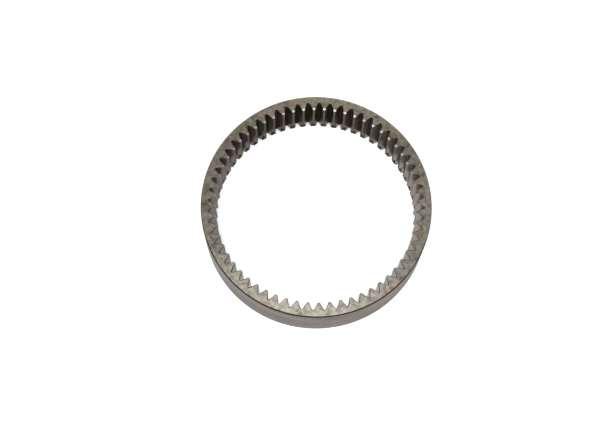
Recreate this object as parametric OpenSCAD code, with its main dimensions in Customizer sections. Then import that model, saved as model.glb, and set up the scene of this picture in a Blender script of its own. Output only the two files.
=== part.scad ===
// Internal ring gear of a planetary hub reduction: one turned ring with straight-cut teeth inside.
// The axis is Z, the lower face lies on z = 0 and a tooth is centred on +X.

/* [Teeth] */
// Module, the pitch diameter over the number of teeth (mm)
gear_module = 3.5; // [2.5:0.25:6]
// Number of teeth
tooth_count = 60; // [45:1:90]
// Pressure angle (degrees)
pressure_angle = 27; // [20:0.5:27.5]
// Tooth height inside the pitch circle, in modules
addendum_factor = 1; // [0.8:0.05:1.1]
// Tooth depth outside the pitch circle, in modules
dedendum_factor = 1.25; // [1.1:0.05:1.35]
// Play between meshing teeth, along the pitch circle (mm)
backlash = 0.1; // [0:0.02:0.3]

/* [Rim] */
// Solid metal between the tooth roots and the outside (mm)
rim_thickness = 7.125; // [4:0.125:25]
// Width of the ring along its axis (mm)
face_width = 56.5; // [40:0.5:120]
// Bevel round the lower outer edge (mm)
edge_bevel = 1; // [0.3:0.1:2.5]
// Lead-in taper round the upper outer edge, along the axis (mm)
lead_in_height = 2.5; // [0.5:0.1:6]
// Lead-in taper round the upper outer edge, across the wall (mm)
lead_in_depth = 0.9; // [0.3:0.1:2]

/* [Tooth ends] */
// Bevel on the tooth tips at the upper face, along the axis (mm)
tip_bevel_height = 1; // [0.5:0.1:4]
// Bevel on the tooth tips at the upper face, across the teeth (mm)
tip_bevel_depth = 1.8; // [0.5:0.1:3.5]
// Length of the seat at the lower end, where the tooth tips are turned back (mm)
seat_length = 15; // [5:0.5:30]
// Depth turned off the tooth tips over the seat (mm)
seat_depth = 3.2; // [0.5:0.1:4]
// Lead-in bevel at the mouth of the seat (mm)
seat_bevel = 0.9; // [0.3:0.1:3]

/* [Hidden] */

// Sides of a drawn circle
$fn = 360;
// How far a cut runs past the metal
overcut = 0.5;
// The root groove is this much larger than the circle that just touches both flanks,
// so it meets them in a clean edge
root_oversize = 1.1;

// Circles of the teeth
pitch_r = gear_module * tooth_count / 2;
base_r = pitch_r * cos(pressure_angle);
tip_r = pitch_r - addendum_factor * gear_module;
root_r = pitch_r + dedendum_factor * gear_module;
outer_r = root_r + rim_thickness;
tooth_angle = 360 / tooth_count;

// Involute function, in degrees
function involute(angle) = tan(angle) * 180 / PI - angle;

// Half the angle that a tooth space takes up at radius r
function space_half_angle(r) =
    tooth_angle / 4
    + backlash / 2 / pitch_r * 180 / PI
    + involute(pressure_angle)
    - involute(acos(base_r / r));

// Point at radius r on the upper flank of the space that lies along +X
function flank_point(r) = r * [cos(space_half_angle(r)), sin(space_half_angle(r))];

// Centre of the circle through three points
function circle_centre(a, b, c) =
    let (
        ab = b - a,
        ac = c - a,
        twice = 2 * (ab.x * ac.y - ab.y * ac.x)
    )
    a + [ac.y * (ab * ab) - ab.y * (ac * ac), ab.x * (ac * ac) - ac.x * (ab * ab)] / twice;

// Each flank is one arc, through the involute at the tip, half way and at the root
flank_start = flank_point(tip_r);
flank_centre = circle_centre(flank_start, flank_point((tip_r + root_r) / 2), flank_point(root_r));
flank_r = norm(flank_start - flank_centre);

// Circle that touches both flanks and reaches the root circle
root_gap = root_r - flank_centre.x;
touch_r = (root_gap * root_gap + flank_centre.y * flank_centre.y - flank_r * flank_r)
    / (2 * (root_gap - flank_r));
touch_centre = [root_r - touch_r, 0];
touch_point = touch_centre
    + touch_r * (touch_centre - flank_centre) / norm(touch_centre - flank_centre);
groove_r = touch_r * root_oversize;

// Outline of one tooth space along +X
module space_outline() {
    inner_x = flank_start.x - overcut;
    intersection() {
        translate(flank_centre) circle(flank_r);
        mirror([0, 1]) translate(flank_centre) circle(flank_r);
        union() {
            translate([inner_x, -flank_r]) square([touch_point.x - inner_x, 2 * flank_r]);
            translate([root_r - groove_r, 0]) rotate(180) circle(groove_r);
        }
    }
}

// All tooth spaces, running past both faces
module tooth_spaces() {
    for (i = [0 : tooth_count - 1])
        rotate((i + 0.5) * tooth_angle)
            translate([0, 0, -overcut])
                linear_extrude(face_width + 2 * overcut)
                    space_outline();
}

// Turned ring before its teeth are cut
module blank() {
    rotate_extrude()
        polygon([
            [tip_r + seat_depth + seat_bevel, 0],
            [outer_r - edge_bevel, 0],
            [outer_r, edge_bevel],
            [outer_r, face_width - lead_in_height],
            [outer_r - lead_in_depth, face_width],
            [tip_r + tip_bevel_depth, face_width],
            [tip_r, face_width - tip_bevel_height],
            [tip_r, seat_length],
            [tip_r + seat_depth, seat_length],
            [tip_r + seat_depth, seat_bevel]
        ]);
}

module ring_gear() {
    color([0.55, 0.52, 0.48])
        difference() {
            blank();
            tooth_spaces();
        }
}

ring_gear();
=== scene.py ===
"""Looks of a straight-cut internal ring gear, built as one sector per tooth and repeated round the axis."""

import math

import bmesh
import bpy
from bpy.props import FloatProperty, FloatVectorProperty, IntProperty, PointerProperty
from mathutils import Matrix, Vector


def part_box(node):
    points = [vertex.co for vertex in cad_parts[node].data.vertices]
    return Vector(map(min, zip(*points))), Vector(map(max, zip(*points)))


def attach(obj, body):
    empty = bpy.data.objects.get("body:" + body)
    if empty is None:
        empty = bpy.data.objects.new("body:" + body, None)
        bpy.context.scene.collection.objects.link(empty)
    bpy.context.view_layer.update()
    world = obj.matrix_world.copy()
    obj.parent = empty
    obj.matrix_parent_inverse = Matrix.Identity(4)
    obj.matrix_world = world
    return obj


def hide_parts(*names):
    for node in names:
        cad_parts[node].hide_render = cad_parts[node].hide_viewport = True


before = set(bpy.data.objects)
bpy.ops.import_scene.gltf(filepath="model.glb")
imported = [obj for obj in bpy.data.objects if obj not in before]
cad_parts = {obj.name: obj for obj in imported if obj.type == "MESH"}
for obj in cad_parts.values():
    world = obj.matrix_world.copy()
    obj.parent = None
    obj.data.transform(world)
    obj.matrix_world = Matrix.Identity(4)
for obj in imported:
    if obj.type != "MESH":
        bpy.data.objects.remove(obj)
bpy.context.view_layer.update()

bl_info = {
    "name": "Internal Ring Gear",
    "version": (1, 0, 0),
    "blender": (4, 5, 0),
    "location": "View3D > Sidebar > Ring Gear",
    "description": "Makes an internal ring gear in worn steel on a plain studio floor",
    "category": "Add Mesh",
}

NODE = "ring_gear"
BODY = "root"
RING_LOW, RING_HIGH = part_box(NODE)

# Finishes of the ring's faces, in the order of the material slots
FINISHES = (
    "ground_face", "turned_rim", "rim_bevel", "cut_flank", "cut_root", "tip_land", "tip_bevel", "seat",
    "broken_edge")
FACE, RIM, BEVEL, FLANK, ROOT, LAND, TIP_BEVEL, SEAT, EDGE = range(len(FINISHES))
FINISH_ATTRIBUTE = "finish"

# Points closer than this are one point
MERGE_DISTANCE = 2e-6
# Steps along half a root and along a flank, and halvings in the search for where the root begins
ROOT_STEPS = 5
FLANK_STEPS = 4
ROOT_HALVINGS = 50
# Corners that turn by more than this are broken, with this many faces across the break
BEVEL_LIMIT = math.radians(80)
EDGE_SEGMENTS = 2
# Corners that turn by more than this are shaded as sharp
SHARP_ANGLE = math.radians(15)

# Sockets of a Mix node for colours, and of a Compare node for whole numbers
MIX_FACTOR, MIX_FIRST, MIX_SECOND, MIX_RESULT = 0, 6, 7, 2
COMPARE_FIRST, COMPARE_SECOND = 2, 3
# Kinds of a group's sockets
COLOUR = "NodeSocketColor"
VALUE = "NodeSocketFloat"
GEOMETRY = "NodeSocketGeometry"

# Turned faces spread reflections across their lines, which run round the axis
TURNED_SPREAD = 0.75
QUARTER_TURN = 0.25
# Glancing reflections keep some of the steel's warm tint
GLANCING_TINT = (1.02, 0.985, 0.96)

# The floor lies this far under the ring
FLOOR_GAP = 0.0002
FLOOR_RADIUS = 12.0
FLOOR_SIDES = 96
FLOOR_ROUGHNESS = 0.9
FLOOR_SHINE = 0.1
ROOM_COLOUR = (1, 0.99, 0.97, 1)
# The room's light fades between these heights, as the sine of the elevation
HORIZON_RISE = (0.1, 0.6)
# Width of the camera's sensor, in millimetres
SENSOR_WIDTH = 36.0
# Soft lights round the ring: name, place and size
LIGHTS = (
    ("front_light", (0, -0.95, 1.15), (1.1, 0.5)),
    ("front_left_light", (-1.1, -0.5, 1.05), (0.8, 0.6)),
    ("front_right_light", (1.1, -0.5, 1.05), (0.8, 0.6)),
    ("left_light", (-0.6, 0.4, 1.3), (0.5, 0.5)),
    ("right_light", (0.6, 0.4, 1.3), (0.5, 0.5)),
    ("top_light", (0, -0.1, 1.5), (1.6, 0.3)),
    ("near_top_light", (0, -0.35, 1.45), (0.5, 0.4)),
    ("back_light", (0, 1.2, 0.5), (1.8, 0.6)),
)

# Fineness of the steel's marks, in marks per metre
FACE_LINES = 2600.0
WALL_LINES = 2200.0
WALL_BANDS = 170.0
LINE_PATCHES = 45.0
FILM_PATCHES = 48.0
FINE_GRAINS = 1100.0
COARSE_GRAINS = 210.0
SMUDGES = 85.0
# The same along each axis, for marks that are longer one way
STREAK_STRETCH = (8, 8, 170)
STAIN_STRETCH = (6, 6, 60)
CUTTER_STRETCH = (1800, 1800, 25)
PATCH_STRETCH = (320, 320, 60)
SCRATCH_STRETCH = (40, 1400, 300)
# Shift of the wall's streaks within their noise
STREAK_SHIFT = (2.96, 4.88, 10.4)
# Lean of the scratches off the face, and the turns of their three sets
SCRATCH_LEAN = (0.3, 0.2)
SCRATCH_TURNS = (0.5, 1.7, 2.6)
# Noise above which a scratch shows, from no density to full density, and how fast it sets in
SCRATCH_LEVELS = (0.80, 0.60)
SCRATCH_RISE = 12.0

# Noise values between which a mark sets in
OLIVE_ONSET = (0.43, 0.64)
BROWN_ONSET = (0.50, 0.36)
STAIN_ONSET = (0.45, 0.65)
SMUDGE_ONSET = (0.56, 0.70)
# Noise values between which a mark runs from its darkest to its lightest
GRAIN_SPREAD = (0.36, 0.64)
STREAK_SPREAD = (0.42, 0.58)
LINE_SPREAD = (0.3, 0.7)
PATCH_SPREAD = (0.35, 0.65)
NOISE_MIDDLE = 0.5
# Share of fine grains among the coarse ones, and of patches among the cutter's streaks
FINE_SHARE = 0.5
PATCH_SHARE = 0.35
# Strength of the lathe's lines and of the grime where they are weakest
FADED_LINES = 0.35
THIN_RESIDUE = 0.6

# Side of the ring where the oil film is painted thicker as shade, toward the back, and its amount from the
# other side to that one
FILM_SHADE_SIDE = (0, 1, 0)
FILM_SHADE_RANGE = (0.4, 1.3)
# Side of the ring where the tooth spaces get painted shade, and their painted light and shade from the
# other side to that one
SHADE_SIDE = (-0.9, 0.43, 0)
SHADE_RANGE = (1.40, 0.66)
# Side of the ring where a finish gets painted shade, its shade elsewhere and there, and the stretch between
# the two, in shares of the radius
# Painted shade on the tip bevels toward the right of the ring
TIP_PAINTED_SHADE = ((0.9, 0.43, 0), (1.0, 0.42), (0.72, 0.84))
# Painted shade on the broken edges toward the front of the ring
EDGE_PAINTED_SHADE = ((0, -1, 0), (1.0, 0.35), (0.2, 0.5))

# Amounts of the marks on each finish
FACE_FILM = 0.9
CUT_FILM = 0.25
FACE_GRAIN = 0.50
WALL_GRAIN = 0.20
WALL_STREAK = 0.26
STAIN_SHARE = 0.6
SMUDGE_SHARE = 0.6
SCRATCH_DENSITY = 0.5
SCRATCH_SHARE = 0.4
CUTTER_FINENESS = 1.0
# Darkest and lightest shade of the lines, bands and streaks
FACE_LINE_SHADES = (0.9, 1.1)
WALL_BAND_SHADES = (0.76, 1.24)
CUT_STREAK_SHADES = (0.75, 1.25)
# Roughness of the face and the wall, and what the film, lines and streaks add
FACE_ROUGHNESS = 0.27
WALL_ROUGHNESS = 0.26
FILM_ROUGHNESS = 0.06
FACE_LINE_ROUGHNESS = 0.10
WALL_LINE_ROUGHNESS = 0.12
CUT_STREAK_ROUGHNESS = 0.12
# Share of glancing reflections that the wall keeps
WALL_GLANCING = 0.5
# Relief of the lines and the streaks
RELIEF_STRENGTH = 0.5
LINE_DEPTH = 0.00004
STREAK_DEPTH = 0.00003


class RingSizes(bpy.types.PropertyGroup):
    """Sizes of the ring and its teeth."""

    outer_radius: FloatProperty(
        name="Outer radius", description="Radius of the outer wall", default=RING_HIGH.x, unit="LENGTH")
    width: FloatProperty(
        name="Width", description="Width of the ring along its axis",
        default=RING_HIGH.z - RING_LOW.z, unit="LENGTH")
    tooth_count: IntProperty(
        name="Teeth", description="Number of teeth round the inside", default=60, min=45, max=90)
    gear_module: FloatProperty(
        name="Module", description="Pitch diameter over the number of teeth", default=0.0035, unit="LENGTH")
    pressure_angle: FloatProperty(
        name="Pressure angle", description="Slope of the flanks at the pitch circle",
        default=math.radians(27), subtype="ANGLE")
    addendum: FloatProperty(
        name="Addendum", description="Tooth height inside the pitch circle, in modules", default=1.0)
    dedendum: FloatProperty(
        name="Dedendum", description="Tooth depth outside the pitch circle, in modules", default=1.25)
    backlash: FloatProperty(
        name="Backlash", description="Play along the pitch circle", default=0.0001, unit="LENGTH")
    lower_bevel: FloatProperty(
        name="Lower bevel", description="Bevel round the lower outer edge", default=0.001, unit="LENGTH")
    lead_in_height: FloatProperty(
        name="Lead-in height", description="Taper of the upper outer edge along the axis",
        default=0.0025, unit="LENGTH")
    lead_in_depth: FloatProperty(
        name="Lead-in depth", description="Taper of the upper outer edge across the wall",
        default=0.0009, unit="LENGTH")
    tip_bevel_height: FloatProperty(
        name="Tip bevel height", description="Bevel of the tooth tips along the axis",
        default=0.001, unit="LENGTH")
    tip_bevel_depth: FloatProperty(
        name="Tip bevel depth", description="Bevel of the tooth tips across the teeth",
        default=0.0018, unit="LENGTH")
    seat_length: FloatProperty(
        name="Seat length", description="Length of the turned-back tooth ends",
        default=0.015, unit="LENGTH")
    seat_depth: FloatProperty(
        name="Seat depth", description="Depth turned off the tooth tips", default=0.0032, unit="LENGTH")
    seat_bevel: FloatProperty(
        name="Seat bevel", description="Lead-in bevel at the mouth of the seat",
        default=0.0009, unit="LENGTH")
    edge_break: FloatProperty(
        name="Edge break", description="Rounding of the machined edges", default=0.0007, unit="LENGTH")


class SteelColours(bpy.types.PropertyGroup):
    """Colours of the steel's finishes."""

    face: FloatVectorProperty(
        name="End face", description="Clean steel of the two end faces", subtype="COLOR",
        default=(0.246, 0.225, 0.198))
    rim: FloatVectorProperty(
        name="Outer wall", description="Turned steel of the outer wall", subtype="COLOR",
        default=(0.226, 0.206, 0.190))
    stain: FloatVectorProperty(
        name="Wall stain", description="Brown stains along the outer wall", subtype="COLOR",
        default=(0.240, 0.190, 0.164))
    bevel: FloatVectorProperty(
        name="Rim bevel", description="Lead-in and lower bevel of the wall", subtype="COLOR",
        default=(0.026, 0.021, 0.018))
    flank: FloatVectorProperty(
        name="Tooth flank", description="Tooth flanks", subtype="COLOR", default=(0.258, 0.235, 0.216))
    # The roots' dark colour is painted shade at the bottom of the tooth spaces
    root: FloatVectorProperty(
        name="Tooth root", description="Rounded roots between the teeth", subtype="COLOR",
        default=(0.070, 0.056, 0.043))
    tip: FloatVectorProperty(
        name="Tip land", description="Lands of the tooth tips", subtype="COLOR",
        default=(0.130, 0.120, 0.112))
    tip_bevel: FloatVectorProperty(
        name="Tip bevel", description="Bevels of the tooth tips", subtype="COLOR",
        default=(0.43, 0.42, 0.41))
    # The seat's dark colour is painted shade under the overhanging tooth tips
    seat: FloatVectorProperty(
        name="Seat", description="Turned-back tooth ends", subtype="COLOR", default=(0.060, 0.054, 0.049))
    edge: FloatVectorProperty(
        name="Broken edge", description="Steel along the broken edges", subtype="COLOR",
        default=(0.125, 0.112, 0.099))
    scratch: FloatVectorProperty(
        name="Scratch", description="Bright steel in the scratches", subtype="COLOR",
        default=(0.34, 0.33, 0.31))
    olive: FloatVectorProperty(
        name="Olive film", description="Greenish tint of old oil", subtype="COLOR",
        default=(0.218, 0.194, 0.124))
    brown: FloatVectorProperty(
        name="Brown film", description="Reddish tint of dried oil", subtype="COLOR",
        default=(0.244, 0.188, 0.148))
    # Grime for smudges on the faces, and painted shade toward the roots of the tooth spaces
    grime: FloatVectorProperty(
        name="Grime", description="Dark residue in the roots", subtype="COLOR",
        default=(0.046, 0.038, 0.031))


class StudioStage(bpy.types.PropertyGroup):
    """Floor, lights and camera."""

    floor_colour: FloatVectorProperty(
        name="Floor", description="Colour of the floor", subtype="COLOR", default=(0.6, 0.6, 0.6))
    floor_glow: FloatProperty(
        name="Floor glow", description="Light that the floor gives by itself", default=1.04)
    horizon_light: FloatProperty(
        name="Horizon light", description="Strength of the room's light at the horizon", default=0.9)
    sky_light: FloatProperty(
        name="Overhead light", description="Strength of the room's light overhead", default=0.24)
    front_light: FloatProperty(
        name="Front light", description="Power of the light in front", default=5.5, unit="POWER")
    front_left_light: FloatProperty(
        name="Front left light", description="Power of the light at the front left",
        default=7.5, unit="POWER")
    front_right_light: FloatProperty(
        name="Front right light", description="Power of the light at the front right",
        default=1.0, unit="POWER")
    left_light: FloatProperty(
        name="Left light", description="Power of the light on the left", default=0.85, unit="POWER")
    right_light: FloatProperty(
        name="Right light", description="Power of the light on the right", default=1.6, unit="POWER")
    top_light: FloatProperty(
        name="Top light", description="Power of the wide light overhead", default=11.6, unit="POWER")
    near_top_light: FloatProperty(
        name="Near top light", description="Power of the small light overhead", default=1.5, unit="POWER")
    back_light: FloatProperty(
        name="Back light", description="Power of the light behind", default=0.5, unit="POWER")
    view_elevation: FloatProperty(
        name="View elevation", description="Camera height above the horizon",
        default=math.radians(72.67), subtype="ANGLE")
    view_turn: FloatProperty(
        name="View turn", description="Camera turn round the axis",
        default=math.radians(0.823), subtype="ANGLE")
    view_distance: FloatProperty(
        name="View distance", description="Camera distance from the upper face",
        default=1.2087, unit="LENGTH")
    view_pan: FloatProperty(
        name="View pan", description="Camera turn to the right", default=-0.00782, subtype="ANGLE")
    view_tilt: FloatProperty(
        name="View tilt", description="Camera turn upwards", default=-0.01209, subtype="ANGLE")
    view_roll: FloatProperty(
        name="View roll", description="Camera turn about its own axis", default=0.0700, subtype="ANGLE")
    lens: FloatProperty(
        name="Lens", description="Focal length of the camera", default=70.63, unit="CAMERA")


# Tooth geometry


def involute(angle):
    """Involute function of an angle in radians."""
    return math.tan(angle) - angle


class ToothForm:
    """Circles and profile of one tooth, which is centred on +X."""

    def __init__(self, sizes):
        module = sizes.gear_module
        self.half_step = math.pi / sizes.tooth_count
        self.pitch = module * sizes.tooth_count / 2
        self.base = self.pitch * math.cos(sizes.pressure_angle)
        self.space_at_base = (
            self.half_step / 2 + sizes.backlash / 2 / self.pitch + involute(sizes.pressure_angle))
        self.tip = self.pitch - sizes.addendum * module
        self.root = self.pitch + sizes.dedendum * module
        self.tip_bevel = self.tip + sizes.tip_bevel_depth
        self.seat = self.tip + sizes.seat_depth
        self.mouth = self.seat + sizes.seat_bevel
        self.flank_end, self.root_centre, self.root_radius = self.rounded_root()

    def space_half_angle(self, radius):
        """Half the angle of the tooth space at a radius."""
        return self.space_at_base - involute(math.acos(self.base / radius))

    def tooth_half_angle(self, radius):
        """Half the angle of the tooth at a radius."""
        return self.half_step - self.space_half_angle(radius)

    def circle_at(self, radius):
        """Centre and radius of the circle on the space's middle line that touches the flank at a radius."""
        angle = self.space_half_angle(radius)
        x = radius * math.cos(angle)
        y = radius * math.sin(angle)
        slope = angle - math.acos(self.base / radius)
        toward_x = self.base * math.cos(slope) - x
        toward_y = self.base * math.sin(slope) - y
        reach = math.hypot(toward_x, toward_y)
        size = -y * reach / toward_y
        return x + size * toward_x / reach, size

    def rounded_root(self):
        """Flank radius where the full-round root begins, with the root's centre and radius."""
        low = self.pitch
        high = self.root
        for _ in range(ROOT_HALVINGS):
            middle = (low + high) / 2
            centre, size = self.circle_at(middle)
            if centre + size < self.root:
                low = middle
            else:
                high = middle
        centre, size = self.circle_at(low)
        return low, centre, size

    def flank_radii(self):
        """Radii of the profile points along a flank, from the tip to the rounded root."""
        half_bevel = (self.tip + self.tip_bevel) / 2
        rest = [
            self.mouth + (self.flank_end - self.mouth) * step / FLANK_STEPS
            for step in range(1, FLANK_STEPS + 1)
        ]
        return sorted({self.tip, half_bevel, self.tip_bevel, self.seat, self.mouth, *rest})

    def root_points(self):
        """Radius and angle of the points along half the rounded root, from the flank to its middle."""
        angle = self.space_half_angle(self.flank_end)
        start = math.atan2(
            self.flank_end * math.sin(angle), self.flank_end * math.cos(angle) - self.root_centre)
        points = []
        for step in range(1, ROOT_STEPS + 1):
            turn = start * (1 - step / ROOT_STEPS)
            x = self.root_centre + self.root_radius * math.cos(turn)
            y = self.root_radius * math.sin(turn)
            points.append((math.hypot(x, y), self.half_step - math.atan2(y, x)))
        return points


def polar(radius, angle, z):
    """Point from its radius, angle and height."""
    return Vector((radius * math.cos(angle), radius * math.sin(angle), z))


class SectorMesh:
    """Mesh of one tooth with its share of the rim."""

    def __init__(self, sizes):
        self.sizes = sizes
        self.form = ToothForm(sizes)
        self.mesh = bmesh.new()
        self.finish = self.mesh.faces.layers.int.new(FINISH_ATTRIBUTE)
        self.radii = self.form.flank_radii()
        self.columns = [(radius, self.form.tooth_half_angle(radius)) for radius in self.radii]
        self.columns += self.form.root_points()

    def grid(self, rows, finish):
        """Joins rows of points into quads with one finish."""
        lines = [[self.mesh.verts.new(point) for point in row] for row in rows]
        for low, high in zip(lines, lines[1:]):
            for quad in zip(low, low[1:], high[1:], high):
                face = self.mesh.faces.new(quad)
                face[self.finish] = finish

    def across(self, radius, z):
        """Points across the tooth at a radius: flank, middle, flank."""
        half = self.form.tooth_half_angle(radius)
        return [polar(radius, angle, z) for angle in (-half, 0, half)]

    def low_edge(self, radius):
        """Height of the flank's lower edge at a radius."""
        if radius < self.form.seat:
            return self.sizes.seat_length
        return max(0, self.form.mouth - radius)

    def high_edge(self, radius):
        """Height of the flank's upper edge at a radius."""
        fall = max(0, self.form.tip_bevel - radius) / self.sizes.tip_bevel_depth
        return self.sizes.width - fall * self.sizes.tip_bevel_height

    def add_flanks(self):
        """Both flanks and the halves of the roots beside them."""
        shoulder = self.sizes.seat_length
        flank = self.columns[:-ROOT_STEPS]
        root = self.columns[-ROOT_STEPS - 1:]
        for side in (-1, 1):
            for columns, finish in ((flank, FLANK), (root, ROOT)):
                seated = [column for column in columns if column[0] >= self.form.seat]
                self.grid([
                    [polar(r, side * a, self.low_edge(r)) for r, a in seated],
                    [polar(r, side * a, shoulder) for r, a in seated],
                ], finish)
                self.grid([
                    [polar(r, side * a, shoulder) for r, a in columns],
                    [polar(r, side * a, self.high_edge(r)) for r, a in columns],
                ], finish)

    def add_tip(self):
        """Land and bevel of the tooth tip."""
        tip = self.form.tip
        self.grid([self.across(tip, self.sizes.seat_length), self.across(tip, self.high_edge(tip))], LAND)
        bevelled = [radius for radius in self.radii if radius <= self.form.tip_bevel]
        self.grid([self.across(radius, self.high_edge(radius)) for radius in bevelled], TIP_BEVEL)

    def add_seat(self):
        """Shoulder, land and mouth of the turned-back end."""
        shoulder = [radius for radius in self.radii if radius <= self.form.seat]
        self.grid([self.across(radius, self.sizes.seat_length) for radius in shoulder], SEAT)
        seat = self.form.seat
        self.grid([self.across(seat, self.sizes.seat_length), self.across(seat, self.low_edge(seat))], SEAT)
        mouth = [radius for radius in self.radii if seat <= radius <= self.form.mouth]
        self.grid([self.across(radius, self.low_edge(radius)) for radius in mouth], SEAT)

    def face_row(self, inner, z):
        """Points along the tooth profile on an end face, from one root's middle to the other's."""
        half = [(r, a) for r, a in self.columns if r >= inner]
        profile = [(r, -a) for r, a in reversed(half)] + [(inner, 0)] + half
        return [polar(r, a, z) for r, a in profile]

    def arc_row(self, radius, z, count):
        """Evenly spaced points along the sector's arc at a radius."""
        step = 2 * self.form.half_step / (count - 1)
        return [polar(radius, index * step - self.form.half_step, z) for index in range(count)]

    def add_rim(self):
        """End faces, lead-in, outer wall and lower bevel."""
        sizes = self.sizes
        outer = sizes.outer_radius
        top = self.face_row(self.form.tip_bevel, sizes.width)
        count = len(top)
        upper = self.arc_row(outer - sizes.lead_in_depth, sizes.width, count)
        wall_top = self.arc_row(outer, sizes.width - sizes.lead_in_height, count)
        wall_foot = self.arc_row(outer, sizes.lower_bevel, count)
        lower = self.arc_row(outer - sizes.lower_bevel, 0, count)
        self.grid([top, upper], FACE)
        self.grid([upper, wall_top], BEVEL)
        self.grid([wall_top, wall_foot], RIM)
        self.grid([wall_foot, lower], BEVEL)
        self.add_lower_face(self.face_row(self.form.mouth, 0), lower)

    def add_lower_face(self, bottom, lower):
        """Lower end face, whose profile has fewer points than its outer edge."""
        spare = (len(lower) - len(bottom)) // 2
        verts = [self.mesh.verts.new(point) for point in bottom]
        edge = [self.mesh.verts.new(point) for point in lower]
        middle = len(bottom) // 2
        pairs = [*range(middle), *[middle] * (2 * spare + 1), *range(middle + 1, len(bottom))]
        for index in range(len(edge) - 1):
            corners = [verts[pairs[index]], verts[pairs[index + 1]], edge[index + 1], edge[index]]
            if pairs[index] == pairs[index + 1]:
                corners.pop(0)
            face = self.mesh.faces.new(corners)
            face[self.finish] = FACE

    def build(self, name):
        """The sector as a mesh, with its parts joined."""
        self.add_flanks()
        self.add_tip()
        self.add_seat()
        self.add_rim()
        bmesh.ops.remove_doubles(self.mesh, verts=self.mesh.verts, dist=MERGE_DISTANCE)
        bmesh.ops.recalc_face_normals(self.mesh, faces=self.mesh.faces)
        data = bpy.data.meshes.new(name)
        self.mesh.to_mesh(data)
        self.mesh.free()
        return data


# Node helpers


def add_node(tree, kind, inputs=None, **settings):
    """Adds a node, sets its options, and sets or links its inputs."""
    made = tree.nodes.new(kind)
    for key, value in settings.items():
        setattr(made, key, value)
    for key, value in (inputs or {}).items():
        if isinstance(value, bpy.types.NodeSocket):
            tree.links.new(value, made.inputs[key])
        else:
            made.inputs[key].default_value = value
    return made


def math_node(tree, operation, *values):
    """Output of a Math node."""
    return add_node(tree, "ShaderNodeMath", dict(enumerate(values)), operation=operation).outputs[0]


def mix_colours(tree, factor, first, second, blend="MIX"):
    """Output of a colour Mix node."""
    inputs = {MIX_FACTOR: factor, MIX_FIRST: first, MIX_SECOND: second}
    made = add_node(tree, "ShaderNodeMix", inputs, data_type="RGBA", blend_type=blend)
    return made.outputs[MIX_RESULT]


def remap(tree, value, low, high, new_low, new_high):
    """Output of a Map Range node, held within its new range."""
    return add_node(tree, "ShaderNodeMapRange", {
        "Value": value, "From Min": low, "From Max": high, "To Min": new_low, "To Max": new_high,
    }).outputs["Result"]


def new_group(name, kind, inputs, outputs):
    """Empty node group with named sockets, and its input and output nodes."""
    tree = bpy.data.node_groups.new(name, kind)
    for side, sockets in (("INPUT", inputs), ("OUTPUT", outputs)):
        for label, socket in sockets.items():
            tree.interface.new_socket(label, in_out=side, socket_type=socket)
    return tree, tree.nodes.new("NodeGroupInput").outputs, tree.nodes.new("NodeGroupOutput").inputs


def effect_group(name, inputs, outputs):
    """Empty shader group with named sockets, and its input and output nodes."""
    return new_group(name, "ShaderNodeTree", inputs, outputs)


def place_group(tree, group, inputs):
    """Outputs of a shader group placed in a material."""
    return add_node(tree, "ShaderNodeGroup", inputs, node_tree=group).outputs


def noise(tree, vector, scale, detail=3.0, roughness=0.55):
    """Value of a three-dimensional Noise node."""
    return add_node(tree, "ShaderNodeTexNoise", {
        "Vector": vector, "Scale": scale, "Detail": detail, "Roughness": roughness,
    }).outputs["Fac"]


def stretched(tree, coords, scale, shift=(0, 0, 0)):
    """Coordinates scaled along each axis and shifted."""
    return add_node(
        tree, "ShaderNodeMapping", {"Vector": coords, "Scale": scale, "Location": shift}).outputs[0]


# Repeating the sector


def repeat_tree():
    """Geometry Nodes tree that turns one sector into the whole ring and gives each face its finish."""
    inputs = {"Geometry": GEOMETRY, "Teeth": "NodeSocketInt"}
    inputs.update(dict.fromkeys(FINISHES, "NodeSocketMaterial"))
    tree, given, result = new_group("repeat_teeth", "GeometryNodeTree", inputs, {"Geometry": GEOMETRY})
    points = add_node(tree, "GeometryNodePoints", {"Count": given["Teeth"]})
    index = tree.nodes.new("GeometryNodeInputIndex").outputs[0]
    step = math_node(tree, "DIVIDE", math.tau, given["Teeth"])
    turn = add_node(tree, "FunctionNodeAxisAngleToRotation", {
        "Axis": (0, 0, 1), "Angle": math_node(tree, "MULTIPLY", index, step)})
    copies = add_node(tree, "GeometryNodeInstanceOnPoints", {
        "Points": points.outputs[0], "Instance": given["Geometry"], "Rotation": turn.outputs[0]})
    realized = add_node(tree, "GeometryNodeRealizeInstances", {"Geometry": copies.outputs[0]})
    joined = add_node(tree, "GeometryNodeMergeByDistance", {
        "Geometry": realized.outputs[0], "Distance": MERGE_DISTANCE})
    number = add_node(
        tree, "GeometryNodeInputNamedAttribute", {"Name": FINISH_ATTRIBUTE}, data_type="INT").outputs[0]
    shape = joined.outputs[0]
    for place, finish in enumerate(FINISHES):
        chosen = add_node(
            tree, "FunctionNodeCompare", {COMPARE_FIRST: number, COMPARE_SECOND: place},
            data_type="INT", operation="EQUAL")
        shape = add_node(tree, "GeometryNodeSetMaterial", {
            "Geometry": shape, "Selection": chosen.outputs[0], "Material": given[finish]}).outputs[0]
    tree.links.new(shape, result["Geometry"])
    return tree


# Shared effects


def place_on_ring(tree):
    """Object coordinates, as a socket."""
    return tree.nodes.new("ShaderNodeTexCoord").outputs["Object"]


def axis_distance(tree):
    """Distance from the axis, as a socket."""
    flat = stretched(tree, place_on_ring(tree), (1, 1, 0))
    return add_node(tree, "ShaderNodeVectorMath", {0: flat}, operation="LENGTH").outputs["Value"]


def axis_height(tree):
    """Height along the axis, as a socket."""
    return add_node(tree, "ShaderNodeSeparateXYZ", {0: place_on_ring(tree)}).outputs["Z"]


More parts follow.
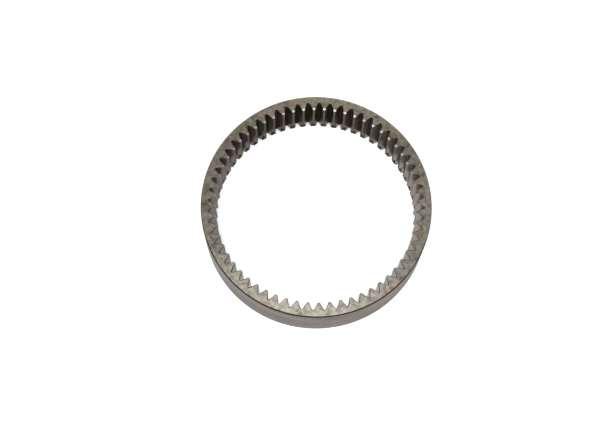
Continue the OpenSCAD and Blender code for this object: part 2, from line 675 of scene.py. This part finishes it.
def across_ring(tree, side, low, high, stretch=(-1, 1)):
    """Value that changes evenly toward one side, over a stretch that is given in shares of the radius."""
    along = add_node(
        tree, "ShaderNodeVectorMath", {0: place_on_ring(tree), 1: side}, operation="DOT_PRODUCT")
    start, end = (share * RING_HIGH.x for share in stretch)
    return remap(tree, along.outputs["Value"], start, end, low, high)


def shaded(tree, colour, shade):
    """Colour made lighter or darker by a value around one."""
    grey = add_node(tree, "ShaderNodeCombineColor", {0: shade, 1: shade, 2: shade}).outputs[0]
    return mix_colours(tree, 1.0, colour, grey, "MULTIPLY")


def oil_film_and_shade_group():
    """Patchy tint of old oil over clean steel, with painted shade that thickens the film toward one side of
    the ring.
    """
    tree, given, result = effect_group(
        "oil_film", {"Clean": COLOUR, "Olive": COLOUR, "Brown": COLOUR, "Amount": VALUE},
        {"Color": COLOUR, "Film": VALUE})
    # Painted shade: the film's amount grows toward one side of the ring
    amount = math_node(tree, "MULTIPLY", given["Amount"], across_ring(tree, FILM_SHADE_SIDE, *FILM_SHADE_RANGE))
    broad = noise(tree, place_on_ring(tree), FILM_PATCHES, detail=3.0, roughness=0.6)
    olive = math_node(tree, "MULTIPLY", remap(tree, broad, *OLIVE_ONSET, 0.0, 1.0), amount)
    brown = math_node(tree, "MULTIPLY", remap(tree, broad, *BROWN_ONSET, 0.0, 1.0), amount)
    tinted = mix_colours(tree, olive, given["Clean"], given["Olive"])
    tree.links.new(mix_colours(tree, brown, tinted, given["Brown"]), result["Color"])
    tree.links.new(math_node(tree, "ADD", olive, brown), result["Film"])
    return tree


def speckle_group():
    """Light and dark grains left by grinding, handling and dried oil."""
    tree, given, result = effect_group("speckle", {"Contrast": VALUE}, {"Shade": VALUE})
    coords = place_on_ring(tree)
    fine = noise(tree, coords, FINE_GRAINS, detail=2.0, roughness=0.6)
    coarse = noise(tree, coords, COARSE_GRAINS, detail=2.0, roughness=0.6)
    grains = math_node(
        tree, "MULTIPLY_ADD", math_node(tree, "SUBTRACT", fine, coarse), FINE_SHARE, coarse)
    centred = remap(tree, grains, *GRAIN_SPREAD, -1.0, 1.0)
    tree.links.new(math_node(tree, "MULTIPLY_ADD", centred, given["Contrast"], 1.0), result["Shade"])
    return tree


def turning_marks_group():
    """Uneven fine lines that a lathe tool leaves, spaced along a position."""
    tree, given, result = effect_group(
        "turning_marks", {"Position": VALUE, "Lines per metre": VALUE}, {"Lines": VALUE})
    along = math_node(tree, "MULTIPLY", given["Position"], given["Lines per metre"])
    lines = add_node(tree, "ShaderNodeTexNoise", {
        "W": along, "Scale": 1.0, "Detail": 4.0, "Roughness": 0.7}, noise_dimensions="1D").outputs["Fac"]
    patches = noise(tree, place_on_ring(tree), LINE_PATCHES, detail=2.0)
    fade = remap(tree, patches, *PATCH_SPREAD, FADED_LINES, 1.0)
    centred = math_node(tree, "MULTIPLY", math_node(tree, "SUBTRACT", lines, NOISE_MIDDLE), fade)
    tree.links.new(math_node(tree, "ADD", centred, NOISE_MIDDLE), result["Lines"])
    return tree


def wiped_streaks_group():
    """Long light and dark streaks that run round the ring."""
    tree, given, result = effect_group(
        "wiped_streaks", {"Contrast": VALUE}, {"Shade": VALUE, "Stain": VALUE})
    coords = place_on_ring(tree)
    streaks = noise(
        tree, stretched(tree, coords, STREAK_STRETCH, STREAK_SHIFT), 1.0, detail=4.0, roughness=0.7)
    centred = remap(tree, streaks, *STREAK_SPREAD, -1.0, 1.0)
    tree.links.new(math_node(tree, "MULTIPLY_ADD", centred, given["Contrast"], 1.0), result["Shade"])
    stain = noise(tree, stretched(tree, coords, STAIN_STRETCH), 1.0, detail=2.0)
    tree.links.new(remap(tree, stain, *STAIN_ONSET, 0.0, 1.0), result["Stain"])
    return tree


def handling_marks_group():
    """Fine crossing scratches."""
    tree, given, result = effect_group("handling_marks", {"Density": VALUE}, {"Marks": VALUE})
    coords = place_on_ring(tree)
    threshold = remap(tree, given["Density"], 0.0, 1.0, *SCRATCH_LEVELS)
    marks = None
    for turn in SCRATCH_TURNS:
        along = add_node(tree, "ShaderNodeMapping", {
            "Vector": coords, "Rotation": (*SCRATCH_LEAN, turn), "Scale": SCRATCH_STRETCH}).outputs[0]
        clear = math_node(tree, "SUBTRACT", noise(tree, along, 1.0, detail=2.0), threshold)
        line = add_node(
            tree, "ShaderNodeMath", {0: clear, 1: SCRATCH_RISE},
            operation="MULTIPLY", use_clamp=True).outputs[0]
        marks = line if marks is None else math_node(tree, "MAXIMUM", marks, line)
    tree.links.new(marks, result["Marks"])
    return tree


def cutter_streaks_group():
    """Streaks along the axis that a shaping cutter leaves on flanks and roots."""
    tree, given, result = effect_group("cutter_streaks", {"Fineness": VALUE}, {"Streaks": VALUE})
    coords = place_on_ring(tree)
    lines = noise(
        tree, stretched(tree, coords, CUTTER_STRETCH), given["Fineness"], detail=3.0, roughness=0.65)
    patches = noise(tree, stretched(tree, coords, PATCH_STRETCH), 1.0, detail=2.0)
    shared = math_node(tree, "MULTIPLY", patches, PATCH_SHARE)
    tree.links.new(math_node(tree, "MULTIPLY_ADD", lines, 1 - PATCH_SHARE, shared), result["Streaks"])
    return tree


def grime_and_shade_group(form):
    """Dark residue and painted shade that deepen toward the roots, with painted light and shade across the
    ring.
    """
    tree, given, result = effect_group(
        "grime", {"Clean": COLOUR, "Grime": COLOUR, "Streaks": VALUE, "Amount": VALUE},
        {"Color": COLOUR})
    # Painted shade, darker toward the roots of the tooth spaces
    deep = remap(tree, axis_distance(tree), form.pitch, form.flank_end, 0.0, 1.0)
    residue = remap(tree, given["Streaks"], *PATCH_SPREAD, THIN_RESIDUE, 1.0)
    share = math_node(tree, "MULTIPLY", math_node(tree, "MULTIPLY", deep, residue), given["Amount"])
    # Painted light toward the front right of the ring and painted shade toward the back left
    side_shaded = shaded(tree, given["Clean"], across_ring(tree, SHADE_SIDE, *SHADE_RANGE))
    tree.links.new(mix_colours(tree, share, side_shaded, given["Grime"]), result["Color"])
    return tree


# Materials


class SteelFinishes:
    """The ring's materials, which share the effects above."""

    def __init__(self, colours, form):
        self.colours = colours
        self.oil_film = oil_film_and_shade_group()
        self.speckle = speckle_group()
        self.turning_marks = turning_marks_group()
        self.wiped_streaks = wiped_streaks_group()
        self.handling_marks = handling_marks_group()
        self.cutter_streaks = cutter_streaks_group()
        self.grime = grime_and_shade_group(form)

    def colour(self, name):
        """One of the user's colours with full alpha."""
        return (*getattr(self.colours, name), 1.0)

    def start(self, name, glancing=1.0):
        """New steel material, its node tree and its shader, which keeps a share of glancing reflections."""
        material = bpy.data.materials.new(name)
        material.use_nodes = True
        material.diffuse_color = self.colour("face")
        shader = material.node_tree.nodes["Principled BSDF"]
        shader.inputs["Metallic"].default_value = 1.0
        tint = [min(1.0, glancing * part) for part in GLANCING_TINT]
        shader.inputs["Specular Tint"].default_value = (*tint, 1.0)
        return material, material.node_tree, shader

    def filmed_and_shaded(self, tree, clean, amount):
        """Outputs of the oil film and its painted shade over a clean colour."""
        return place_group(tree, self.oil_film, {
            "Clean": self.colour(clean), "Olive": self.colour("olive"),
            "Brown": self.colour("brown"), "Amount": amount})

    def relief(self, tree, shader, height, distance):
        """Fine relief on the shader's normal."""
        made = add_node(tree, "ShaderNodeBump", {
            "Height": height, "Strength": RELIEF_STRENGTH, "Distance": distance})
        tree.links.new(made.outputs[0], shader.inputs["Normal"])

    def spread_round_axis(self, tree, shader):
        """Reflections drawn out across the turning lines, which run round the axis."""
        shader.inputs["Anisotropic"].default_value = TURNED_SPREAD
        shader.inputs["Anisotropic Rotation"].default_value = QUARTER_TURN
        tangent = add_node(tree, "ShaderNodeTangent", direction_type="RADIAL", axis="Z")
        tree.links.new(tangent.outputs[0], shader.inputs["Tangent"])

    def lathe_lines(self, tree, position, per_metre):
        """Lines of the lathe tool along a position."""
        return place_group(
            tree, self.turning_marks, {"Position": position, "Lines per metre": per_metre})["Lines"]

    def end_face(self, name):
        """Ground end face: oily tints, grains, smudges and fine scratches."""
        material, tree, shader = self.start(name)
        self.spread_round_axis(tree, shader)
        lines = self.lathe_lines(tree, axis_distance(tree), FACE_LINES)
        film_and_shade = self.filmed_and_shaded(tree, "face", FACE_FILM)
        grains = place_group(tree, self.speckle, {"Contrast": FACE_GRAIN})["Shade"]
        shade = math_node(tree, "MULTIPLY", grains, remap(tree, lines, *LINE_SPREAD, *FACE_LINE_SHADES))
        spots = noise(tree, place_on_ring(tree), SMUDGES, detail=4.0, roughness=0.65)
        smudges = remap(tree, spots, *SMUDGE_ONSET, 0.0, SMUDGE_SHARE)
        smudged = mix_colours(tree, smudges, shaded(tree, film_and_shade["Color"], shade), self.colour("grime"))
        marks = place_group(tree, self.handling_marks, {"Density": SCRATCH_DENSITY})["Marks"]
        scratches = math_node(tree, "MULTIPLY", marks, SCRATCH_SHARE)
        colour = mix_colours(tree, scratches, smudged, self.colour("scratch"))
        tree.links.new(colour, shader.inputs["Base Color"])
        dull = math_node(tree, "MULTIPLY_ADD", film_and_shade["Film"], FILM_ROUGHNESS, FACE_ROUGHNESS)
        roughness = math_node(tree, "MULTIPLY_ADD", lines, FACE_LINE_ROUGHNESS, dull)
        tree.links.new(roughness, shader.inputs["Roughness"])
        self.relief(tree, shader, lines, LINE_DEPTH)
        return material

    def outer_wall(self, name):
        """Turned outer wall: long streaks and brown stains round the ring."""
        material, tree, shader = self.start(name, WALL_GLANCING)
        self.spread_round_axis(tree, shader)
        height = axis_height(tree)
        lines = self.lathe_lines(tree, height, WALL_LINES)
        bands = remap(
            tree, self.lathe_lines(tree, height, WALL_BANDS), *PATCH_SPREAD, *WALL_BAND_SHADES)
        streaks = place_group(tree, self.wiped_streaks, {"Contrast": WALL_STREAK})
        grains = place_group(tree, self.speckle, {"Contrast": WALL_GRAIN})["Shade"]
        stain = math_node(tree, "MULTIPLY", streaks["Stain"], STAIN_SHARE)
        stained = mix_colours(tree, stain, self.colour("rim"), self.colour("stain"))
        shade = math_node(tree, "MULTIPLY", math_node(tree, "MULTIPLY", streaks["Shade"], bands), grains)
        tree.links.new(shaded(tree, stained, shade), shader.inputs["Base Color"])
        roughness = math_node(tree, "MULTIPLY_ADD", lines, WALL_LINE_ROUGHNESS, WALL_ROUGHNESS)
        tree.links.new(roughness, shader.inputs["Roughness"])
        self.relief(tree, shader, lines, LINE_DEPTH)
        return material

    def cut(self, name, clean, glancing, grime, roughness):
        """Shaped steel with streaks along the axis, and grime and painted shade that deepen toward the
        roots.
        """
        material, tree, shader = self.start(name, glancing)
        streaks = place_group(tree, self.cutter_streaks, {"Fineness": CUTTER_FINENESS})["Streaks"]
        film_and_shade = self.filmed_and_shaded(tree, clean, CUT_FILM)
        streaked = shaded(tree, film_and_shade["Color"], remap(tree, streaks, *LINE_SPREAD, *CUT_STREAK_SHADES))
        dirty_and_shaded = place_group(tree, self.grime, {
            "Clean": streaked, "Grime": self.colour("grime"), "Streaks": streaks, "Amount": grime})["Color"]
        tree.links.new(dirty_and_shaded, shader.inputs["Base Color"])
        dull = math_node(tree, "MULTIPLY_ADD", streaks, CUT_STREAK_ROUGHNESS, roughness)
        tree.links.new(dull, shader.inputs["Roughness"])
        self.relief(tree, shader, streaks, STREAK_DEPTH)
        return material

    def bare(self, name, clean, glancing, contrast, roughness, painted_shade=None):
        """Narrow machined surface with grains, which may get painted shade on one side of the ring."""
        material, tree, shader = self.start(name, glancing)
        grains = place_group(tree, self.speckle, {"Contrast": contrast})["Shade"]
        shade = grains
        # Painted shade toward one side of the ring
        if painted_shade:
            side, shades, stretch = painted_shade
            shade = math_node(tree, "MULTIPLY", grains, across_ring(tree, side, *shades, stretch))
        tree.links.new(shaded(tree, self.colour(clean), shade), shader.inputs["Base Color"])
        tree.links.new(math_node(tree, "MULTIPLY", grains, roughness), shader.inputs["Roughness"])
        return material

    def all(self):
        """One material for each finish, by name."""
        return {
            "ground_face": self.end_face("ground_face"),
            "turned_rim": self.outer_wall("turned_rim"),
            "rim_bevel": self.bare("rim_bevel", "bevel", glancing=0.4, contrast=0.25, roughness=0.40),
            "cut_flank": self.cut("cut_flank", "flank", glancing=0.55, grime=0.65, roughness=0.14),
            "cut_root": self.cut("cut_root", "root", glancing=0.35, grime=0.3, roughness=0.25),
            "tip_land": self.bare("tip_land", "tip", glancing=0.4, contrast=0.20, roughness=0.26),
            "tip_bevel": self.bare(
                "tip_bevel", "tip_bevel", glancing=1.0, contrast=0.15, roughness=0.30, painted_shade=TIP_PAINTED_SHADE),
            "seat": self.cut("seat", "seat", glancing=0.3, grime=0.3, roughness=0.30),
            "broken_edge": self.bare(
                "broken_edge", "edge", glancing=0.5, contrast=0.25, roughness=0.25, painted_shade=EDGE_PAINTED_SHADE),
        }


# Pieces


def plain_mesh(piece):
    """The piece with its modifiers made part of a plain, closed mesh."""
    depsgraph = bpy.context.evaluated_depsgraph_get()
    result = bpy.data.meshes.new_from_object(
        piece.evaluated_get(depsgraph), preserve_all_data_layers=True, depsgraph=depsgraph)
    work = bmesh.new()
    work.from_mesh(result)
    bmesh.ops.remove_doubles(work, verts=work.verts, dist=MERGE_DISTANCE)
    bmesh.ops.recalc_face_normals(work, faces=work.faces)
    loose = [edge for edge in work.edges if len(edge.link_faces) != 2]
    work.to_mesh(result)
    work.free()
    if loose:
        raise RuntimeError(f"the ring's mesh has {len(loose)} open edges")
    result.shade_smooth()
    result.set_sharp_from_angle(angle=SHARP_ANGLE)
    piece.modifiers.clear()
    piece.data = result


class RINGGEAR_OT_ring(bpy.types.Operator):
    """Make the toothed ring from one sector, repeated for every tooth"""

    bl_idname = "ringgear.ring"
    bl_label = "Toothed Ring"

    def execute(self, context):
        sizes = context.scene.ring_gear_sizes
        finishes = SteelFinishes(context.scene.ring_gear_colours, ToothForm(sizes)).all()
        piece = bpy.data.objects.new("toothed_ring", SectorMesh(sizes).build("toothed_ring"))
        for finish in FINISHES:
            piece.data.materials.append(finishes[finish])
        context.scene.collection.objects.link(piece)
        repeat = piece.modifiers.new("repeat_teeth", "NODES")
        repeat.node_group = repeat_tree()
        values = {"Teeth": sizes.tooth_count, **finishes}
        for item in repeat.node_group.interface.items_tree:
            if item.in_out == "INPUT" and item.name in values:
                repeat[item.identifier] = values[item.name]
        rounding = piece.modifiers.new("edge_break", "BEVEL")
        rounding.width = sizes.edge_break
        rounding.segments = EDGE_SEGMENTS
        rounding.limit_method = "ANGLE"
        rounding.angle_limit = BEVEL_LIMIT
        rounding.material = EDGE
        plain_mesh(piece)
        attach(piece, BODY)
        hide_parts(NODE)
        return {"FINISHED"}


# Stage


def add_floor(stage):
    """Wide plain floor under the ring."""
    data = bpy.data.meshes.new("floor")
    work = bmesh.new()
    bmesh.ops.create_circle(work, cap_ends=True, segments=FLOOR_SIDES, radius=FLOOR_RADIUS)
    bmesh.ops.translate(work, verts=work.verts, vec=(0, 0, RING_LOW.z - FLOOR_GAP))
    work.to_mesh(data)
    work.free()
    material = bpy.data.materials.new("floor")
    material.use_nodes = True
    shader = material.node_tree.nodes["Principled BSDF"]
    colour = (*stage.floor_colour, 1.0)
    shader.inputs["Base Color"].default_value = colour
    shader.inputs["Roughness"].default_value = FLOOR_ROUGHNESS
    shader.inputs["Specular IOR Level"].default_value = FLOOR_SHINE
    shader.inputs["Emission Color"].default_value = colour
    shader.inputs["Emission Strength"].default_value = stage.floor_glow
    data.materials.append(material)
    floor = bpy.data.objects.new("floor", data)
    bpy.context.scene.collection.objects.link(floor)


def add_soft_light(name, place, target, size, power):
    """Large rectangular light that faces a point."""
    data = bpy.data.lights.new(name, "AREA")
    data.shape = "RECTANGLE"
    data.size, data.size_y = size
    data.energy = power
    light = bpy.data.objects.new(name, data)
    light.location = place
    light.rotation_euler = (target - place).to_track_quat("-Z", "Y").to_euler()
    bpy.context.scene.collection.objects.link(light)


def add_room(stage):
    """Soft light from all round, brighter toward the horizon."""
    world = bpy.data.worlds.new("room")
    world.use_nodes = True
    tree = world.node_tree
    room = tree.nodes["Background"]
    room.inputs["Color"].default_value = ROOM_COLOUR
    direction = tree.nodes.new("ShaderNodeTexCoord").outputs["Generated"]
    rise = add_node(tree, "ShaderNodeSeparateXYZ", {0: direction}).outputs["Z"]
    strength = remap(tree, rise, *HORIZON_RISE, stage.horizon_light, stage.sky_light)
    tree.links.new(strength, room.inputs["Strength"])
    bpy.context.scene.world = world


def add_camera(stage):
    """Camera that looks down at the upper face from the front."""
    data = bpy.data.cameras.new("camera")
    data.sensor_fit = "HORIZONTAL"
    data.sensor_width = SENSOR_WIDTH
    data.lens = stage.lens
    camera = bpy.data.objects.new("camera", data)
    turns = (
        Matrix.Rotation(stage.view_turn, 4, "Z")
        @ Matrix.Rotation(math.pi / 2 - stage.view_elevation, 4, "X"))
    aim = (
        Matrix.Rotation(-stage.view_pan, 4, "Y")
        @ Matrix.Rotation(stage.view_tilt, 4, "X")
        @ Matrix.Rotation(stage.view_roll, 4, "Z"))
    back = Matrix.Translation((0, 0, stage.view_distance))
    camera.matrix_world = Matrix.Translation((0, 0, RING_HIGH.z)) @ turns @ back @ aim
    bpy.context.scene.collection.objects.link(camera)
    bpy.context.scene.camera = camera


class RINGGEAR_OT_stage(bpy.types.Operator):
    """Add the floor, the lights and the camera"""

    bl_idname = "ringgear.stage"
    bl_label = "Studio Stage"

    def execute(self, context):
        stage = context.scene.ring_gear_stage
        middle = Vector((0, 0, RING_HIGH.z))
        add_floor(stage)
        add_room(stage)
        for name, place, size in LIGHTS:
            add_soft_light(name, Vector(place), middle, size, getattr(stage, name))
        add_camera(stage)
        context.scene.view_settings.view_transform = "Standard"
        return {"FINISHED"}


class RINGGEAR_PT_panel(bpy.types.Panel):
    """Sizes, colours and stage of the ring gear"""

    bl_idname = "RINGGEAR_PT_panel"
    bl_label = "Ring Gear"
    bl_space_type = "VIEW_3D"
    bl_region_type = "UI"
    bl_category = "Ring Gear"

    def draw(self, context):
        layout = self.layout
        for settings in ("ring_gear_sizes", "ring_gear_colours", "ring_gear_stage"):
            group = getattr(context.scene, settings)
            box = layout.box()
            for name in group.__annotations__:
                box.prop(group, name)
        layout.operator(RINGGEAR_OT_ring.bl_idname)
        layout.operator(RINGGEAR_OT_stage.bl_idname)


CLASSES = (RingSizes, SteelColours, StudioStage, RINGGEAR_OT_ring, RINGGEAR_OT_stage, RINGGEAR_PT_panel)


def register():
    """Registers the classes and gives the scene its settings."""
    for item in CLASSES:
        bpy.utils.register_class(item)
    bpy.types.Scene.ring_gear_sizes = PointerProperty(type=RingSizes)
    bpy.types.Scene.ring_gear_colours = PointerProperty(type=SteelColours)
    bpy.types.Scene.ring_gear_stage = PointerProperty(type=StudioStage)


def unregister():
    """Removes the settings and the classes."""
    del bpy.types.Scene.ring_gear_stage
    del bpy.types.Scene.ring_gear_colours
    del bpy.types.Scene.ring_gear_sizes
    for item in reversed(CLASSES):
        bpy.utils.unregister_class(item)


def main():
    """Makes the ring and its stage."""
    register()
    bpy.ops.ringgear.ring()
    bpy.ops.ringgear.stage()


if __name__ == "__main__":
    main()
